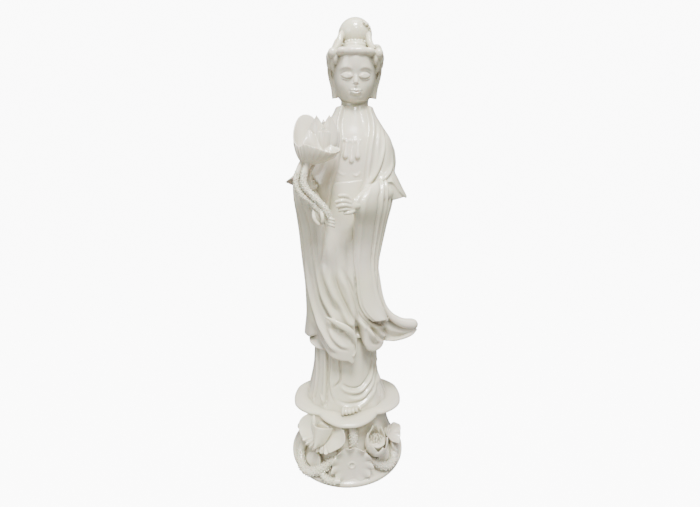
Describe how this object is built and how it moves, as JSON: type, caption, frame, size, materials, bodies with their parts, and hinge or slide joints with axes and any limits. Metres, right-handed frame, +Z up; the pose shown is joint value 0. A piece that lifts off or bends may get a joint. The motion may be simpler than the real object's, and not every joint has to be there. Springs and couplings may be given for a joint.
{
  "type": "guanyin figure",
  "caption": "Standing guanyin figure in white glazed porcelain, robed, holding a lotus spray, on a lobed lotus platform over a drum plinth with applied leaves and buds.",
  "frame": {"origin": "centre of the flat round underside of the plinth's foot", "axes": "+Z up along the standing figure, -Y the way the figure faces, +X the viewer's right seen from the front"},
  "size_m": [0.1281, 0.1217, 0.4201],
  "materials": {
    "glazed_porcelain": "glossy ivory-white glaze over white porcelain"
  },
  "bodies": {
    "root": {"guanyin_figure": "glazed_porcelain"}
  },
  "joints": []
}
